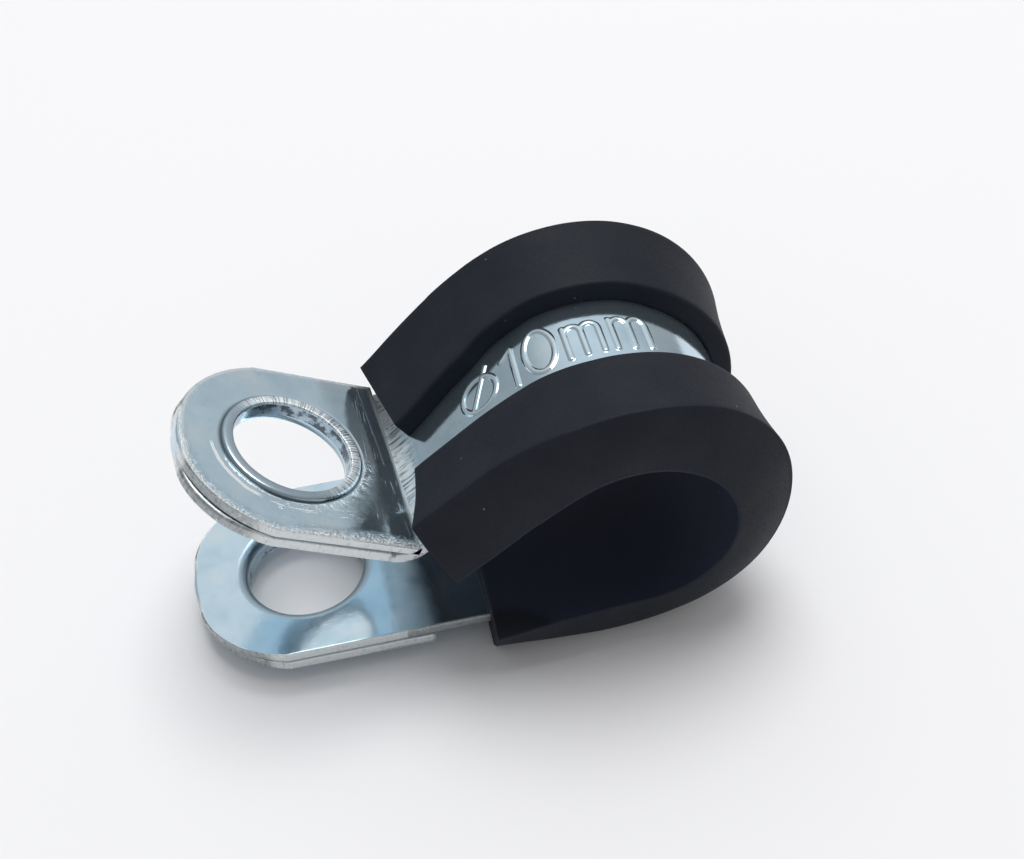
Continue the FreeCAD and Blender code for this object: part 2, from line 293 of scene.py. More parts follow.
def tabStations(endRadius):
    # places round a tab's outline, seen from its hole (u along the tab towards the loop, v across it):
    # near end, one side, tip, other side; every entry has one value per station
    half, edge, joint = band["width"] / 2, band["edgeRound"], band["joint"]
    v = acrossSteps(half, edge)
    side = -math.sqrt(endRadius ** 2 - half ** 2)
    count = tabs["sideStations"]
    sideAngle = math.atan2(half, side)
    tipAngle = np.linspace(sideAngle, 2 * math.pi - sideAngle, tabs["tipStations"])
    tip = np.stack([np.cos(tipAngle), np.sin(tipAngle)], -1)
    share = np.linspace(0, 1, count + 1)[1:-1]
    foldU = tabs["foldEnd"] + tabs["foldSlant"] * v

    def ring(near, sides, tipRing):
        return np.concatenate([near, sides[0], tipRing, sides[1][::-1]])

    def tipOnly(values):
        return ring(np.zeros(len(v)), [np.zeros(count - 1)] * 2, values)

    def sidePair(ends, place):
        # both sides' stations, from the near end's last u and first u to the tip
        return [np.stack([u + (side - u) * share, np.full(count - 1, s * place)], -1)
                for u, s in zip(ends, (1, -1))]

    nearMiddle = -np.abs(endRadius * tip[:, 1])
    toSide = half + nearMiddle
    rounding = blendStep(nearMiddle, -tabs["foldGone"], -tabs["foldShut"])
    bow = tipOnly(rounding)
    insetTip = (endRadius - edge - rounding * (tabs["foldRound"] - edge))[:, None] * tip
    shelf = tabs["shelf"] * blendStep(-nearMiddle, tabs["shelfStart"], tabs["shelfFull"])
    shelf *= np.clip(toSide / tabs["shelfFade"], 0, 1)
    nearEnd = np.stack([np.full(len(v), joint), v], -1)
    legIn = ring(nearEnd, sidePair((joint, joint), half - edge), insetTip + shelf[:, None] * tip)
    layerIn = ring(np.stack([foldU - edge, v], -1), sidePair((foldU[-1], foldU[0]), half - edge), insetTip)
    # the way outwards: none at the leg's near end, where the strip goes on, and along u at the layer's
    sides = [np.tile([0.0, s], (count - 1, 1)) for s in (1.0, -1.0)]
    legAway = ring(np.zeros((len(v), 2)), sides, tip)
    legAway[len(v) - 1], legAway[0] = (0, 1), (0, -1)
    layerAway = legAway.copy()
    layerAway[:len(v)] = (1, 0)
    layerAway[len(v) - 1], layerAway[0] = (1, 1), (1, -1)
    inner = half - tabs["gapDepth"]
    gapU = foldU - tabs["gapDepthEnd"]
    gapLine = ring(np.stack([gapU, v * inner / half], -1), sidePair((gapU[-1], gapU[0]), inner),
                   (endRadius - tabs["gapDepth"]) * tip)
    angle = np.arctan2(legIn[:, 1], legIn[:, 0])
    return {
        "nearCount": len(v),
        "legIn": legIn,
        "layerIn": layerIn,
        "legAway": legAway,
        "layerAway": layerAway,
        "gapLine": gapLine,
        "circle": np.stack([np.cos(angle), np.sin(angle)], -1),
        "fold": tipOnly(blendStep(nearMiddle, -tabs["foldShut"], -tabs["foldFull"])),
        "bow": bow,
        "inset": edge + bow * (tabs["foldRound"] - edge),
        "punched": tipOnly(np.clip(toSide / tabs["punchFade"], 0, 1)),
        "pressed": tipOnly(blendStep(nearMiddle, -tabs["pressedGone"], -tabs["pressedFull"])),
    }


def tabFaceRows(at, top, layerRise):
    # rows from the leg's inner face through the hole, over the collar's rim and across the doubled layer;
    # each row is its places, its heights and the looks sheared, ring and groove
    circle, legIn, layerIn = at["circle"], at["legIn"], at["layerIn"]
    hole, outer, leadIn = tabs["hole"], tabs["ringOuter"], tabs["leadIn"]
    foot, edgeTop, ringTop = tabs["ringFoot"], tabs["ringEdge"], tabs["ringTop"]
    rimLook = tabs["rimLook"]
    spread = np.array([0, 0.012, 0.04, 0.1, 0.2, 0.32, 0.46, 0.6, 0.74, 0.86, 0.94, 0.985, 1.0])
    rows = []

    def addRow(uv, h, sheared=0.0, onRing=0.0, inGroove=0.0):
        rows.append((uv, h, sheared, onRing, inGroove))

    lead = hole + leadIn
    for t in spread[:-1]:
        addRow(legIn + (circle * lead - legIn) * t, 0.0)
    for a in np.linspace(0, math.pi / 2, 9):
        addRow(circle * (lead - leadIn * math.sin(a)), leadIn * (1 - math.cos(a)))
    for h in np.linspace(leadIn, foot, 9)[1:]:
        addRow(circle * hole, h, 0.0, tabs["wallLook"])
    # the rolled rim: a small round at the hole, a top that falls off as the fourth power, the outer edge
    small = tabs["rimRound"]
    for a in np.linspace(0, math.pi / 2, 6)[1:]:
        addRow(circle * (hole + small * (1 - math.cos(a))), foot + (ringTop - foot) * math.sin(a),
               0.0, rimLook)
    wide = outer - tabs["rimBreak"] - hole - small
    for t in np.linspace(0, 1, 9)[1:]:
        addRow(circle * (hole + small + wide * t), ringTop - (ringTop - edgeTop) * t ** 4, 0.0, rimLook)
    addRow(circle * outer, edgeTop - 0.05, 0.0, rimLook)
    # the groove where the rim lies on the doubled layer, marked for painted shade, then the layer's face
    inGroove, start = circle * (outer + 0.02), circle * tabs["grooveEnd"]
    addRow(inGroove, top - 0.02 + layerRise(inGroove), 0.0, tabs["grooveLook"], 1.0)
    addRow(circle * (outer + 0.09), top - 0.03 + layerRise(start), 0.0, 0.0, 0.8)
    for t in spread[:-1][::-1]:
        uv = start + (layerIn - start) * (1 - t)
        addRow(uv, top + layerRise(uv), 0.35 * (t < 0.05))
    return rows


def tabEdgeRows(at, top, layerRise):
    # rows round the doubled layer's edge, into the gap and out round the leg's edge, blended into one
    # rounded wall where the fold is whole; also how many of them end in the gap
    edge, gauge, soft, foldRound = band["edgeRound"], band["gauge"], tabs["legRound"], tabs["foldRound"]
    fold, bow, punched, inset = at["fold"], at["bow"], at["punched"], at["inset"]
    out, rise = edgeProfile(edge, 0, gauge)
    out, rise = out[::-1], rise[::-1]
    turn = np.linspace(0, math.pi / 2, 6)
    legOut = np.concatenate([edge - soft + soft * np.sin(turn), out[-(len(out) // 2):]])
    legRise = np.concatenate([gauge - soft + soft * np.cos(turn), rise[-(len(rise) // 2):]])
    lifted = gauge + tabs["foldGap"]
    steps = [(out[k], lifted + rise[k], at["layerIn"], at["layerAway"], 1.0) for k in range(1, len(out))]
    steps += [(None, lifted, at["gapLine"], 0.0, 1.0), (None, gauge, at["gapLine"], 0.0, 0.0)]
    for k in range(len(legOut)):
        # the leg's edge is softly rounded where it is punched and tightly where it is slit
        reachOut = out[k] + punched * (legOut[k] - out[k])
        steps.append((reachOut, rise[k] + punched * (legRise[k] - rise[k]), at["legIn"], at["legAway"], 0.0))
    share = np.linspace(0, 1, len(steps) + 1)[1:]
    corner = 0.3
    quarter = np.clip(np.minimum(share, 1 - share) / corner, 0, 1) * math.pi / 2
    bowOut = foldRound * np.sin(quarter)
    bowDrop = foldRound * (1 - np.cos(quarter))
    straight = (top - 2 * foldRound) * np.clip((share - corner) / (1 - 2 * corner), 0, 1)
    middle = (share >= corner) & (share <= 1 - corner)
    bowRise = np.where(middle, top - foldRound - straight, np.where(share < 0.5, top - bowDrop, bowDrop))
    sheared = (0.6 + 0.4 * punched) * (1 - 0.85 * at["pressed"])
    rows = []
    for (o, h, base, away, up), bowO, bowH in zip(steps, bowOut, bowRise):
        reachOut = 0.0 if o is None else (o + (inset - edge) * (o > 0.04))[:, None]
        flat = base + away * reachOut
        whole = at["layerIn"] + at["layerAway"] * bowO if up else at["legIn"] + at["legAway"] * bowO
        uv = flat * (1 - bow[:, None]) + whole * bow[:, None]
        rows.append((uv, (h + up * layerRise(uv)) * (1 - fold) + bowH * fold, sheared, 0.0, 0.0))
    return rows, len(out) + 1


def tabPatches(origin, along, across, outward, endRadius):
    # one doubled tab: rows run from the leg's inner face over the collar and the doubled layer's edge into
    # the gap, all the way round, and from there round the leg's own edge, which is open at its near end
    # because the strip goes on there
    at = tabStations(endRadius)
    top = 2 * band["gauge"] + tabs["foldGap"]
    spring = math.tan(math.radians(tabs["foldSpring"]))

    def layerRise(uv):
        # the doubled layer opens towards its cut end
        return spring * (uv[:, 0] + endRadius - top / 2) * (1 - at["bow"])

    def patch(rows, stations):
        uv = np.array([row[0] for row in rows])[:, stations]
        size = len(at["legIn"])
        h, sheared, onRing, inGroove = (np.array([np.broadcast_to(row[k], size) for row in rows])[:, stations]
                                        for k in (1, 2, 3, 4))
        circle = np.broadcast_to(at["circle"][stations], uv.shape)
        reach = np.hypot(uv[..., 0], uv[..., 1])
        aroundHole, away = circle * tabs["swirlRound"], (reach + h)[..., None] * tabs["swirlAway"]
        return {
            "points": origin + uv[..., :1] * along + uv[..., 1:] * across + h[..., None] * outward,
            "flow": np.concatenate([uv, h[..., None]], -1),
            "swirl": np.concatenate([aroundHole, away], -1),
            "sheared": sheared,
            "ring": onRing,
            "groove": inGroove,
        }

    edgeRows, upperCount = tabEdgeRows(at, top, layerRise)
    main = patch(tabFaceRows(at, top, layerRise) + edgeRows[:upperCount + 1], slice(None))
    main["wrap"] = True
    openRing = np.concatenate([np.arange(at["nearCount"] - 1, len(at["legIn"])), [0]])
    return [main, patch(edgeRows[upperCount:], openRing)]


places, turns, gone = runPath((-lowerRun, -midRadius), 0, bandRuns, band["spacing"])
lastTurn = turns[-1]
heading = np.array([math.cos(lastTurn), 0, math.sin(lastTurn)])
upperOut = np.array([math.sin(lastTurn), 0, -math.cos(lastTurn)])
upperEnd = np.array([places[-1][0], 0, places[-1][1]])
upperOrigin = upperEnd + heading * band["joint"] - upperOut * band["gauge"] / 2
lowerOrigin = np.array([-band["lowerHoleReach"], 0, -midRadius + band["gauge"] / 2])
print("upper hole at", np.round(upperOrigin, 3))
axisX, axisY, axisZ = np.eye(3)
strapPatches = [stripPatch(places, turns, gone)]
strapPatches += tabPatches(upperOrigin, -heading, axisY, upperOut, upperTab["endRadius"])
strapPatches += tabPatches(lowerOrigin, axisX, axisY, -axisZ, lowerTab["endRadius"])
strap = makePiece("plated_band", strapPatches, bandFields)

liner = {
    "lowerRun": 8.6,          # straight runs below and above the loop's arcs, and where its listed places end
    "upperRun": 6.0,
    "upperPlace": 5.3,
    "stations": 285,
    "shapeFrom": 0.8,         # the listed widths are read from here on, over the run's length less shapeLess
    "shapeLess": 1.4,
    "base": 1.2,
    "lipHeight": 3.49,
    "windowHeight": 3.0,
    "lipRound": 0.14,
    "windowRound": 0.2,
    "lipSag": 0.07,
    "bulge": 0.26,
    "widest": 8.34,
    "slack": 0.03,
    # half-widths against the place on the loop: 0 to 0.4 lower straight, to 1.5 bore arc, to 2.3 crown,
    # to 2.8 flank, to 3 upper straight
    "bore": (
        (0.0, 8.34), (0.17, 8.34), (0.4, 8.02), (0.7, 8.15), (1.0, 8.33), (2.2, 8.33), (2.7, 8.25),
        (2.92, 8.06), (3.0, 7.84),
    ),
    "lipNear": (
        (0.0, 6.3), (0.13, 6.7), (0.33, 6.94), (0.5, 6.7), (0.8, 6.8), (1.1, 6.58), (1.3, 6.86),
        (1.55, 7.31), (1.9, 7.55), (2.2, 7.5), (2.55, 6.97), (2.86, 6.66), (3.0, 6.36),
    ),
    "lipFar": (
        (0.0, 6.3), (0.13, 6.7), (0.33, 6.94), (0.5, 6.7), (1.05, 6.7), (1.25, 7.14), (1.4, 7.33),
        (1.6, 7.44), (2.0, 7.49), (2.4, 7.64), (2.7, 7.56), (2.8, 7.5), (2.87, 7.3), (2.94, 7.02),
        (3.0, 6.66),
    ),
    "windowNear": (
        (0.0, 2.4), (1.3, 2.62), (1.9, 2.74), (2.1, 2.74), (2.4, 2.54), (2.8, 2.42), (3.0, 2.2),
    ),
    "windowFar": (
        (0.0, 2.4), (1.4, 2.2), (1.7, 2.68), (2.25, 2.93), (2.6, 2.75), (2.85, 2.16), (3.0, 1.3),
    ),
    # the bore's edges sink outwards near the lower cut
    "droop": ((0.0, 0.5), (0.04, 0.5), (0.17, 0.0), (3.0, 0.0)),
    "droopFrom": 6.0,
    # how far short of the upper run's end the cut lies, against the place across, and what the bore adds
    "upperCut": (
        (-8.3, 4.5), (-6.4, 4.37), (-4.3, 3.85), (-2.3, 3.58), (1.2, 4.12), (4.0, 4.75), (6.6, 5.27),
        (8.3, 5.45),
    ),
    "upperCutBore": 0.45,
    "lowerCut": 7.8,
}


def alongLoop(name, at):
    # straight runs between the listed places, then averaged over a short stretch to round the corners
    x, y = np.array(liner[name]).T
    spread = np.linspace(-1, 1, 9)[:, None] * 0.05 * (x[-1] - x[0]) / 3
    return np.interp(np.asarray(at).ravel() + spread, x, y).mean(0).reshape(np.shape(at))


def linerSection(bore, lip, window, droop):
    # one half of the outer outline, from the window wall's foot round to the middle of the bore;
    # every entry is one lengthwise line: (across, height over the bore)
    foot = liner["base"] + band["gauge"] + liner["slack"]
    height, rim = liner["lipHeight"], liner["lipRound"]
    windowTop, soft = liner["windowHeight"], liner["windowRound"]
    columns = []

    def add(y, h):
        columns.append((y, h * np.ones_like(bore)))

    for t in np.linspace(0, 1, 6):
        add(window, foot + (windowTop - soft - foot) * t)
    for a in np.linspace(0, math.pi / 2, 5)[1:]:
        add(window + soft * (1 - math.cos(a)), windowTop - soft + soft * math.sin(a))
    for t in np.linspace(0, 1, 17)[1:]:
        y = window + soft + (lip - rim - window - soft) * t
        add(y, windowTop + (height - windowTop) * t - liner["lipSag"] * math.sin(math.pi * t))
    # the lip's outer round ends a little before it turns straight down, where the side bulges on
    full = math.pi / 2 - 0.2
    for a in np.linspace(0, full, 7)[1:]:
        add(lip - rim + rim * math.sin(a), height - rim + rim * math.cos(a))
    topPart = len(columns)
    low = height - rim + rim * math.cos(full)
    lipY = lip - rim + rim * math.sin(full)
    for t in np.linspace(0, 1, 21)[1:]:
        y = lipY + (bore - lipY) * t + liner["bulge"] * math.sin(math.pi * t)
        add(np.minimum(y, liner["widest"]), low * (1 - t) + droop * t)
    sidePart = len(columns)
    # the bore's lines lie closer together near its edge
    for t in np.linspace(0, 1, 33)[1:] ** 1.3:
        y = bore * (1 - t)
        add(y, droop * np.clip((y - liner["droopFrom"]) / (bore - liner["droopFrom"]), 0, 1) ** 2)
    return columns, topPart, sidePart


def linerPiece():
    # the section carried over the loop, with each lengthwise line starting and ending on the two cuts
    lower, upper = liner["lowerRun"], liner["upperRun"]
    path, turn, dist = runPath((-lower, -midRadius), 0, [(lower, 0)] + loopRuns + [(upper, 0)], 0.2)
    share = np.linspace(0, 1, liner["stations"])
    listed = np.cumsum([0, lower] + [run[0] for run in loopRuns] + [liner["upperPlace"]])
    stage = np.interp(share * (dist[-1] - liner["shapeLess"]) + liner["shapeFrom"], listed,
                      (0, 0.4, 1.5, 2.3, 2.8, 3.0))
    bore, droop = alongLoop("bore", stage), alongLoop("droop", stage)
    half = band["width"] / 2 + liner["slack"]
    foot, floor = liner["base"] + band["gauge"] + liner["slack"], liner["base"] - liner["slack"]

    def halves(lip, window):
        # outer and inner lengthwise lines of one half, as places across and heights over the bore
        columns, topPart, sidePart = linerSection(bore, lip, window, droop)
        wall, under = sidePart - topPart, len(columns) - sidePart
        w = window[:, None]
        shelf = w + (half - w) * np.linspace(0, 1, topPart)
        base = half * (1 - np.linspace(0, 1, under + 1)[1:]) * np.ones_like(w)
        innerY = np.concatenate([shelf, np.full((len(w), wall), half), base], 1)
        innerH = np.concatenate([np.full(topPart, foot), np.linspace(foot, floor, wall + 1)[1:],
                                 np.full(under, floor)])
        outerY, outerH = (np.stack([column[k] for column in columns], 1) for k in (0, 1))
        return outerY, outerH, innerY, np.tile(innerH, (len(w), 1))

    far = halves(alongLoop("lipFar", stage), alongLoop("windowFar", stage))
    near = halves(alongLoop("lipNear", stage), alongLoop("windowNear", stage))
    # the near half runs the other way, with its places across negative
    y, h, innerY, innerH = (np.concatenate([f, sign * n[:, :-1][:, ::-1]], 1)
                            for f, n, sign in zip(far, near, (-1, 1, -1, 1)))

    def put(across, height):
        start = lower - liner["lowerCut"]
        boreShare = 1 - height / liner["lipHeight"]
        end = upper - alongLoop("upperCut", across) - liner["upperCutBore"] * boreShare
        s = start + share[:, None] * (dist[-1] - end - start)
        px, pz, pt = (np.interp(s, dist, values) for values in (path[:, 0], path[:, 1], turn))
        offset = height - liner["base"] - band["gauge"] / 2
        return np.stack([px + np.sin(pt) * offset, across, pz - np.cos(pt) * offset], -1), s

    outer, outerS = put(y, h)
    inner, innerS = put(innerY, innerH)
    patches = [
        {"points": outer, "flow": np.stack([outerS, y, h], -1)},
        {"points": inner, "flow": np.stack([innerS, innerY, innerH], -1)},
    ]
    for row in (0, -1):
        fill = np.linspace(0, 1, 5)[:, None, None]
        cap = outer[row][None] + (inner[row] - outer[row])[None] * fill
        patches.append({"points": cap, "flow": cap, "cut": 1.0})
    return makePiece("rubber_liner_skin", patches, ("flow", "cut"))


rubber = linerPiece()


# raised size figure: round ridges pressed up from the band
figure = {
    "start": -1.1,            # along the band's outer face from the crown's start, towards the tabs
    "end": 12.0,
    "tail": 6.0,              # straight run after the loop's arcs, more than the figure needs
    "low": -1.75,             # across the band, from its middle line
    "high": 2.5,
    "step": 0.045,
    "flat": 0.06,             # half the width of a ridge's crest, and of its foot
    "foot": 0.23,
    "rise": 0.085,
    "sink": 0.006,
    "back": 0.25,
    # a crest is painted a little paler than the band as a highlight: by the highlight's share up to crestFull
    # from its line, gone at crestGone
    "crestHighlight": 0.2,
    "crestFull": 0.03,
    "crestGone": 0.13,
}


def strokeLine(points, count=40):
    # evenly spaced points along a run of straight strokes
    p = np.array(points, float)
    length = np.concatenate([[0], np.cumsum(np.hypot(*np.diff(p, axis=0).T))])
    s = np.linspace(0, length[-1], count)
    return np.stack([np.interp(s, length, p[:, k]) for k in (0, 1)], -1)


def strokeOval(centre, halves, first=0, last=360, count=90):
    a = np.radians(np.linspace(first, last, count))
    return np.stack([centre[0] + halves[0] * np.cos(a), centre[1] + halves[1] * np.sin(a)], -1)


def strokeM(left, right, low, high):
    # three stems joined by two round shoulders
    middle, wide = (left + right) / 2, (right - left) / 4
    shoulder = high - wide * 1.15
    first = strokeOval((left + wide, shoulder), (wide, wide * 1.15), 180, 0, 24)
    second = strokeOval((middle + wide, shoulder), (wide, wide * 1.15), 180, 0, 24)
    stems = [strokeLine([(x, shoulder), (x, low)]) for x in (middle, right)]
    return [strokeLine([(left, low), (left, high)]), np.concatenate([first, stems[0]]),
            np.concatenate([second, stems[1]])]


def figureStrokes():
    # the marks for a diameter of 10 mm, in millimetres: x grows in the reading direction, from the tabs to
    # the loop, and y grows away from the near edge
    strokes = [strokeOval((-10.2, 0.25), (1.15, 1.09)), strokeLine([(-10.8, -0.62), (-9.45, 1.74)])]
    strokes += [strokeLine([(-7.85, -1.05), (-7.76, 1.69), (-8.46, 1.2)], 60)]
    strokes += [strokeOval((-6.23, 0.38), (0.86, 1.5))]
    strokes += strokeM(-4.75, -2.93, -1.1, 1.15) + strokeM(-2.25, -0.35, -1.1, 1.15)
    return np.concatenate(strokes)


def figurePiece():
    # the height falls from each stroke's crest to its foot as a smooth step, and between the strokes the
    # skin lies just under the band's face
    s = np.arange(figure["start"], figure["end"], figure["step"])
    v = np.arange(figure["low"], figure["high"], figure["step"])
    grid = np.stack(np.meshgrid(s, v, indexing="ij"), -1)
    strokes = figureStrokes()
    # distances to the nearest stroke, found in twelve parts to save memory
    near = np.full(grid.shape[:2], 9.0)
    for part in np.array_split(strokes, 12):
        gap = np.hypot(-grid[..., :1] - part[:, 0], grid[..., 1:] - part[:, 1])
        near = np.minimum(near, gap.min(-1))
    lift = figure["rise"] * (1 - blendStep(near, figure["flat"], figure["foot"])) - figure["sink"]
    growth = band["gauge"] / 2
    runs = [(length * (radius + growth) / radius, radius + growth) for length, radius in loopRuns]
    runs.append((figure["tail"], 0))
    path, turn, dist = runPath((0, -(midRadius + growth)), 0, runs, 0.1)
    zero = runs[0][0]
    px, pz, pt = (np.interp(zero + s, dist, values) for values in (path[:, 0], path[:, 1], turn))

    def put(rise):
        x = px[:, None] + np.sin(pt)[:, None] * rise
        z = pz[:, None] - np.cos(pt)[:, None] * rise
        return np.stack([x, np.broadcast_to(v, rise.shape), z], -1)

    top, bottom = put(lift), put(np.full(lift.shape, -figure["back"]))
    lengths = [np.cumsum([0] + [run[0] for run in part]) for part in (runs[:-1], loopRuns)]
    passed = alongTab(lowerRun + np.interp(zero + s, *lengths))
    flow = np.stack(np.broadcast_arrays(passed[:, None], grid[..., 1], np.full(grid.shape[:2], 0.6)), -1)
    # painted highlight along the crests, carried in the sheared field
    crest = figure["crestHighlight"] * (1 - blendStep(near, figure["crestFull"], figure["crestGone"]))
    patches = [{"points": top, "flow": flow, "sheared": crest}, {"points": bottom, "flow": flow}]
    for border in (np.s_[0], np.s_[-1], np.s_[:, 0], np.s_[:, -1]):
        patches.append({"points": np.stack([top[border], bottom[border]], 0)})
    return makePiece("size_figure", patches, bandFields)


mark = figurePiece()


# materials
smooth = {"interpolation_type": "SMOOTHSTEP"}
span = ("Value", "From Min", "From Max")
# a word for each use of a node: its kind, settings, the sockets its inputs go to in order, other inputs,
# and its output
nodeWords = {
    "plus": ("Math", {"operation": "ADD"}, (0, 1), {}, 0),
    "minus": ("Math", {"operation": "SUBTRACT"}, (0, 1), {}, 0),
    "times": ("Math", {"operation": "MULTIPLY"}, (0, 1), {}, 0),
    "timesPlus": ("Math", {"operation": "MULTIPLY_ADD"}, (0, 1, 2), {}, 0),
    "timesPlusLimited": ("Math", {"operation": "MULTIPLY_ADD", "use_clamp": True}, (0, 1, 2), {}, 0),
    "most": ("Math", {"operation": "MAXIMUM"}, (0, 1), {}, 0),
    "size": ("Math", {"operation": "ABSOLUTE"}, (0,), {}, 0),
    "root": ("Math", {"operation": "SQRT"}, (0,), {}, 0),
    "angle": ("Math", {"operation": "ARCTAN2"}, (0, 1), {}, 0),
    "above": ("Math", {"operation": "GREATER_THAN"}, (0, 1), {}, 0),
    "rise": ("MapRange", smooth, span, {}, 0),
    "fade": ("MapRange", smooth, span, {"To Min": 1.0, "To Max": 0.0}, 0),
    "mix": ("Mix", {"data_type": "RGBA"}, (0, 6, 7), {}, 2),
    "ramp": ("ValToRGB", {}, ("Fac",), {}, "Color"),
    "partX": ("SeparateXYZ", {}, (0,), {}, 0),
    "partY": ("SeparateXYZ", {}, (0,), {}, 1),
    "partZ": ("SeparateXYZ", {}, (0,), {}, 2),
    "red": ("SeparateColor", {}, (0,), {}, 0),
    "dot": ("VectorMath", {"operation": "DOT_PRODUCT"}, (0, 1), {}, "Value"),
    "stretch": ("Mapping", {}, ("Vector", "Scale"), {}, 0),
    "noise": ("TexNoise", {}, ("Vector", "Scale", "Detail", "Roughness"), {"Detail": 3.0}, "Fac"),
    "cellDistance": ("TexVoronoi", {}, ("Vector", "Scale"), {}, "Distance"),
    "cellColour": ("TexVoronoi", {}, ("Vector", "Scale"), {}, "Color"),
    "storedVector": ("Attribute", {}, (), {}, "Vector"),
    "storedValue": ("Attribute", {}, (), {}, "Fac"),
    "objectPlace": ("TexCoord", {}, (), {}, "Object"),
    "direction": ("TexCoord", {}, (), {}, "Generated"),
    "cameraRay": ("LightPath", {}, (), {}, "Is Camera Ray"),
    "bump": ("Bump", {}, ("Height", "Distance", "Strength"), {}, 0),
    "shader": ("BsdfPrincipled", {}, (), {}, 0),
    "background": ("Background", {}, ("Color",), {"Strength": 1.0}, 0),
    "mixShader": ("MixShader", {}, (0, 1, 2), {}, 0),
    "surface": ("OutputMaterial", {}, ("Surface",), {}, None),
    "worldSurface": ("OutputWorld", {}, ("Surface",), {}, None),
}


def addNode(tree, word, *values, settings=None, stops=(), **named):
    # adds the node that a word stands for, sets or links its inputs, and gives its output;
    # a word for two inputs takes any number of them, pair by pair
    kind, wordSettings, sockets, fixed, output = nodeWords[word]
    while len(values) > len(sockets):
        values = (addNode(tree, word, *values[:2]),) + values[2:]
    node = tree.nodes.new("ShaderNode" + kind)
    for key, value in {**wordSettings, **(settings or {})}.items():
        setattr(node, key, value)
    byName = {key.replace("_", " "): value for key, value in named.items()}
    for key, value in {**fixed, **dict(zip(sockets, values)), **byName}.items():
        if isinstance(value, bpy.types.NodeSocket):
            tree.links.new(value, node.inputs[key])
        else:
            node.inputs[key].default_value = value
    for _ in stops[2:]:
        node.color_ramp.elements.new(0.5)
    if stops:
        for element, (at, colour) in zip(node.color_ramp.elements, stops):
            element.position = at
            element.color = linearColour(colour) if isinstance(colour, str) else (colour, colour, colour, 1)
    return None if output is None else node.outputs[output]


def newMaterial(name):
    material = bpy.data.materials.new(name)
    material.use_nodes = True
    material.node_tree.nodes.clear()
    return material, partial(addNode, material.node_tree)


def layerMarks(add, flow, swirl, u, v, reach):
    # marks on the doubled layer: rings struck by the rolling die and a painted highlight along the layer
    # hole's edge, scuffs by its near edge, long scratches along the fold, tufts torn up beside the collar,
    # and burrs and pits along the rim
    wobble = add("times", add("minus", add("noise", flow, 1.6), 0.5), 0.16)
    drift = add("plus", reach, wobble)
    bearing = add("angle", v, add("times", u, -1.0))
    broken = add("rise", add("noise", flow, 3.0, 4.0, 0.7), 0.36, 0.50)

    def arc(radius, width, first, last):
        line = add("fade", add("size", add("minus", drift, radius)), width * 0.5, width)
        return add("times", line, add("rise", bearing, first, first + 0.12),
                   add("fade", bearing, last - 0.08, last))

    # the arc at radius 4.0 is a painted highlight along the layer hole's edge; the other arcs are die strike
    # marks
    strikesAndEdgeHighlight = add("most", arc(4.36, 0.13, -1.12, -0.04), add("times", arc(4.40, 0.06, -1.8, -1.15), broken),
                 add("times", arc(4.0, 0.06, -1.8, -0.3), broken))

    scuff = add("times", add("fade", add("size", add("plus", v, 4.3)), 0.1, 0.6),
                add("rise", u, -1.9, -0.9), add("fade", u, 2.4, 3.6),
                add("rise", add("noise", add("stretch", flow, (0.3, 1, 1)), 7.0, 5.0, 0.75), 0.54, 0.62))
    streaks = add("noise", add("stretch", flow, (1, 0.03, 1)), 11.0, 3.0, 0.7)
    scratch = add("times", add("rise", streaks, 0.60, 0.70), add("rise", u, 3.4, 4.2),
                  add("rise", add("noise", flow, 0.8), 0.46, 0.60))
    offLine = add("size", add("minus", add("plus", add("timesPlus", v, 0.11, u), wobble), 5.15))
    lastLine = add("times", add("fade", offLine, 0.015, 0.045),
                   add("rise", add("noise", flow, 0.7), 0.44, 0.56))
    shreds = add("noise", add("stretch", swirl, (1, 1, 2.5)), 5.0, 5.0, 0.8)
    tuft = add("times", add("rise", shreds, 0.50, 0.60),
               add("rise", reach, 3.9, 3.98), add("fade", reach, 4.15, 4.75),
               add("rise", u, -0.6, 1.6), add("fade", v, -1.2, 0.6))

    burrs = add("noise", flow, 7.0, 5.0, 0.85)
    tipBand = add("times", add("rise", reach, 5.45, 5.95), add("fade", u, -1.6, -0.4),
                  add("timesPlus", add("rise", v, -1.2, 1.6), -0.75, 1.0))
    nearBand = add("times", add("rise", add("times", v, -1.0), 5.1, 5.8), add("rise", u, -1.6, -0.4))
    rimBand = add("most", tipBand, nearBand, add("times", add("rise", v, 5.6, 5.9), 0.5))
    return {
        "strikesAndEdgeHighlight": strikesAndEdgeHighlight,
        "thin": add("most", add("times", scratch, 0.35), add("times", lastLine, 0.3), add("times", tuft, 0.8),
                    add("times", scuff, 0.8)),
        "burrs": burrs,
        "rimBand": rimBand,
    }


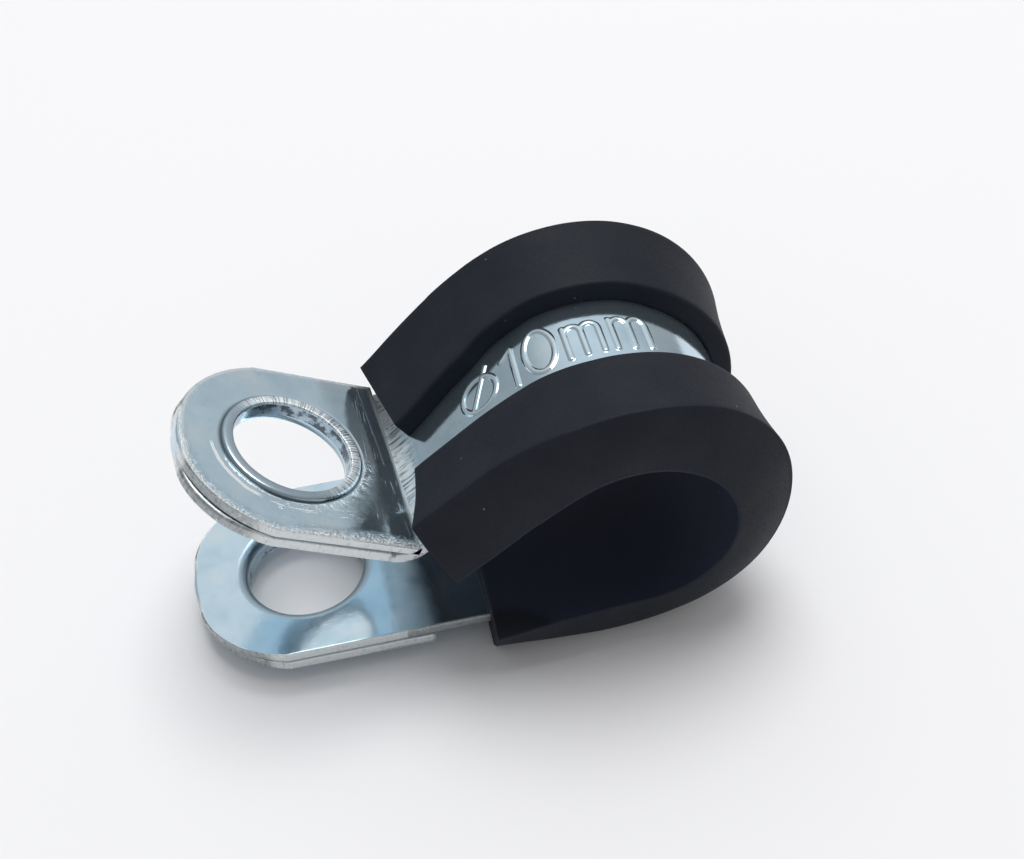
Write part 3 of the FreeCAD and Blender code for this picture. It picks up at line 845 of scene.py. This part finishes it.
def zincPlate():
    # mild steel strip, bright zinc plated and blue passivated: mirror-like but faintly milky and blue,
    # rolling lines and handling scratches, white sheared edges, fine draw lines on collar and bend
    material, add = newMaterial("blue passivated zinc")
    flow, swirl = (add("storedVector", settings={"attribute_name": field}) for field in vectorFields)
    sheared, onRing, inGroove, onBend = (add("storedValue", settings={"attribute_name": field})
                                         for field in ("sheared", "ring", "groove", "bend"))
    u, v, h = (add(part, flow) for part in ("partX", "partY", "partZ"))
    reach = add("root", add("plus", add("times", u, u), add("times", v, v)))
    onFace = add("rise", h, 1.2, 1.24)

    # milky cloud in the plating 2 mm wide, small grey stains, rolling lines 0.07 mm apart, grains and swell
    cloud = add("noise", flow, 0.5, 4.0)
    stain = add("rise", add("noise", add("stretch", flow, (1, 1.3, 1)), 2.2, 5.0, 0.7), 0.60, 0.74)
    lines = add("noise", add("stretch", flow, (0.05, 1, 1)), 14.0, 3.0, 0.6)
    grain = add("noise", flow, 16.0, 4.0, 0.65)
    swell = add("noise", flow, 0.9, 2.0)

    found = layerMarks(add, flow, swirl, u, v, reach)
    burrs, rimBand = found["burrs"], add("times", found["rimBand"], onFace)
    crumbs = add("times", burrs, add("timesPlus", rimBand, 0.2, 0.8))
    # real burrs along the rim band, painted white as glints
    rimSpeckGlints = add("times", add("rise", crumbs, 0.51, 0.55), rimBand)
    pitted = add("times", add("fade", burrs, 0.39, 0.45), rimBand)
    marks = add("most", add("times", found["strikesAndEdgeHighlight"], onFace), add("times", found["thin"], onFace),
                add("times", rimSpeckGlints, 0.7))

    # slit edges pale and pitted, punched edges greyer with torn spots; a painted highlight whitens the
    # collar's rim round its far half, a painted dark reflection clouds its wall and darkens its rougher
    # lead-in; stretch lines on the bend painted white as highlights
    tear = add("noise", add("stretch", flow, (1, 1, 0.5)), 5.5, 5.0, 0.75)
    draw = add("noise", add("stretch", swirl, (1, 1, 0.35)), 15.0, 3.0, 0.6)
    patch = add("noise", add("stretch", swirl, (1, 1, 9.0)), 0.9, 4.0, 0.65)
    cross = add("noise", add("stretch", flow, (0.08, 1, 0.1)), 6.5, 4.0, 0.75)
    punched = add("rise", sheared, 0.7, 0.95)
    onWall = add("times", add("fade", onRing, 0.36, 0.5), add("rise", onRing, 0.2, 0.34))
    onRim = add("rise", onRing, 0.7, 0.9)
    # painted highlight: the rim's far half, which mirrors the bright room behind, is whitened
    farHalf = add("rise", add("plus", add("times", u, 0.8), add("times", v, 0.6)), -1.6, 1.2)
    rimFarHighlight = add("times", onRim, farHalf)
    # real burrs on the cut edges, painted white as glints
    edgeBurrGlints = add("times", add("timesPlus", punched, 0.7, 0.2), sheared, add("rise", tear, 0.55, 0.66))
    hollow = add("times", sheared, add("fade", tear, 0.36, 0.46))
    # painted highlight: white streaks along the bend's stretch lines
    bendHighlight = add("times", onBend, add("rise", cross, 0.44, 0.50))
    torn = add("times", onBend, add("fade", cross, 0.41, 0.46))
    # the lead-in is rougher and painted darker as a dark reflection
    leadIn = add("times", add("fade", reach, 3.72, 3.88), add("fade", h, 0.5, 0.65))
    # real scuffs and scratches together with painted glints on burrs, the bend, the rim and the layer hole's
    # edge, all whitened
    scuffsAndGlints = add("most", marks, add("times", edgeBurrGlints, 0.8), add("times", bendHighlight, 0.9),
                add("times", rimFarHighlight, add("rise", draw, 0.40, 0.56)))

    tint = add("ramp", cloud, stops=((0.3, "#B8D0DE"), (0.52, "#C3DAE7"), (0.72, "#CFDEE6")))
    for share, amount, colour in (
        (stain, 0.3, "#93A5B1"),
        (sheared, 1.2, "#E6E8E6"),
        (punched, 0.75, "#8C959A"),
        # painted dark reflection: the hole's wall is greyed and blotched dark where it would mirror shade
        # below
        (onWall, 0.5, "#8FA0AD"),
        (add("times", onWall, add("rise", patch, 0.46, 0.56)), 0.85, "#3C4855"),
        (onRim, 0.7, "#95A5B0"),
        (add("most", torn, pitted, hollow), 0.7, "#505757"),
        (leadIn, 0.5, "#7F909C"),
        (scuffsAndGlints, 1.0, "#EEF4F7"),
        # painted shade: the groove round the rim is darkened nearly to black
        (inGroove, 0.9, "#1F262C"),
    ):
        tint = add("mix", add("times", share, amount), tint, linearColour(colour))
    metallic = add("timesPlusLimited", add("minus", sheared, punched), -0.8,
                   add("timesPlus", scuffsAndGlints, -0.3, 0.94))

    rough = add("timesPlus", grain, 0.06, 0.06)
    for share, amount in ((stain, 0.08), (sheared, 0.26), (onRim, 0.16), (onWall, 0.16), (leadIn, 0.2),
                          (onBend, 0.3), (scuffsAndGlints, 0.2)):
        rough = add("timesPlus", share, amount, rough)

    # heights in hundredths of a millimetre; between the collar and its cut end the doubled layer sinks
    # towards its corners, by up to 0.17 mm at the near one and 0.28 mm at the far one
    farther = add("times", add("above", v, 0.0), 0.02)
    fall = add("timesPlus", add("times", v, v), add("plus", farther, 0.03), 0.1)
    height = add("times", fall, add("rise", u, 2.0, 4.5), onFace, -14.5)
    for share, amount in (
        (lines, 0.1),
        (grain, 0.12),
        (swell, 0.8),
        (add("times", draw, rimFarHighlight), 4.0),
        (add("times", cross, onBend), 11.0),
        (add("times", tear, sheared), 1.5),
        (add("times", burrs, rimBand), 2.5),
        (marks, 0.8),
    ):
        height = add("timesPlus", share, amount, height)
    bump = add("bump", height, metre / 100, 1.0)
    add("surface", add("shader", Base_Color=tint, Metallic=metallic, Roughness=rough, Normal=bump))
    return material


def epdmRubber():
    # extruded EPDM, carbon black filled: near-black, blue under skylight and matt, dusted with fine lint;
    # the bore's face is painted bluer and a little paler, as painted light reaching into the bore
    material, add = newMaterial("black EPDM rubber")
    cut = add("storedValue", settings={"attribute_name": "cut"})
    overBore = add("partZ", add("storedVector", settings={"attribute_name": "flow"}))
    scaled = add("stretch", add("objectPlace"), (1 / metre,) * 3)
    grain = add("noise", scaled, 7.0, 5.0, 0.65)
    tone = add("ramp", add("noise", scaled, 0.4, 4.0), stops=((0.3, "#151A25"), (0.7, "#1D2129")))
    # painted light: the bore's face, away from the cut ends, is lifted paler and bluer
    paintedBoreLight = add("times", add("fade", overBore, 0.0, 0.08), add("minus", 1.0, cut))
    # lint and dust: specks about 0.1 mm wide, one to some 5 square millimetres
    cell = 0.55
    chosen = add("rise", add("red", add("cellColour", scaled, cell)), 0.35, 0.45)
    speck = add("times", add("fade", add("cellDistance", scaled, cell), 0.02, 0.05), chosen)
    for share, amount, colour in ((paintedBoreLight, 0.8, "#2A3144"), (speck, 0.35, "#A0A6AC"), (cut, 0.4, "#24272C")):
        tone = add("mix", add("times", share, amount), tone, linearColour(colour))
    rough = add("ramp", grain, stops=((0.3, 0.55), (0.7, 0.7)))
    bump = add("bump", grain, 0.03 * metre, 0.5)
    add("surface", add("shader", Base_Color=tone, Roughness=rough, Specular_IOR_Level=0.2, Normal=bump))
    return material


def paleFloor():
    # a board painted matt white: plain, with a weak sheen
    material, add = newMaterial("matt white board")
    add("surface", add("shader", Base_Color=linearColour("#F4F4F6"), Roughness=0.9, Specular_IOR_Level=0.1))
    return material


zinc, epdm = zincPlate(), epdmRubber()
for piece, material, slotName, node in (
    (strap, zinc, "strap", "strap"),
    (rubber, epdm, "rubber_liner", "rubber_liner"),
    (mark, zinc, "strap", None),
):
    piece.data.materials.append(material)
    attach(piece, "root")
    if node:
        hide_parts(node)
print("materials set")

# floor, light and camera
bpy.ops.mesh.primitive_plane_add(size=3.0, location=(0, 0, cadBox[0].z))
board = bpy.context.object
board.name = "board"
board.data.materials.append(paleFloor())

world = bpy.data.worlds.new("studio")
scene.world = world
world.use_nodes = True
world.node_tree.nodes.clear()
add = partial(addNode, world.node_tree)
# a grey room, brightest high behind the clip and an even grey elsewhere; plain white to the camera
facing = add("dot", add("direction"), (0.1, 0.55, 0.83))
room = add("ramp", add("timesPlus", facing, 0.5, 0.5),
           stops=((0.0, 0.48), (0.25, 0.44), (0.55, 0.36), (0.85, 0.43), (0.99, 0.88)))
roomLight, plainWhite = add("background", room), add("background", (1, 1, 1, 1))
add("worldSurface", add("mixShader", add("cameraRay"), roomLight, plainWhite))


def softLamp(name, place, size, power):
    # a round lamp that faces the clip
    lamp = bpy.data.lights.new(name, "AREA")
    lamp.shape, lamp.size, lamp.energy = "DISK", size, power
    holder = bpy.data.objects.new(name, lamp)
    scene.collection.objects.link(holder)
    holder.location = place
    holder.rotation_mode = "QUATERNION"
    holder.rotation_quaternion = (-Vector(place)).to_track_quat("-Z", "Y")


softLamp("far soft", (0.15, 0.45, 1.57), 1.15, 7.6)
softLamp("near soft", (0.03, 0.09, 0.43), 0.26, 0.6)
print("floor and light set")

az, el, roll = (math.radians(view[k]) for k in ("azimuth", "elevation", "roll"))
back = Vector((math.sin(az) * math.cos(el), -math.cos(az) * math.cos(el), math.sin(el)))
right = (-back).cross(Vector((0, 0, 1))).normalized()
down = (-back).cross(right)
rightTurned = right * math.cos(roll) + down * math.sin(roll)
downTurned = down * math.cos(roll) - right * math.sin(roll)
turned = Matrix((rightTurned, -downTurned, back)).transposed()
camera = bpy.data.cameras.new("photo view")
camera.sensor_width = view["sensor"]
camera.lens = view["focal"] / view["width"] * view["sensor"]
camera.clip_start, camera.clip_end = 0.005, 10
eye = bpy.data.objects.new("photo view", camera)
scene.collection.objects.link(eye)
eye.matrix_world = Matrix.Translation(Vector(view["place"]) * metre) @ turned.to_4x4()
scene.camera = eye
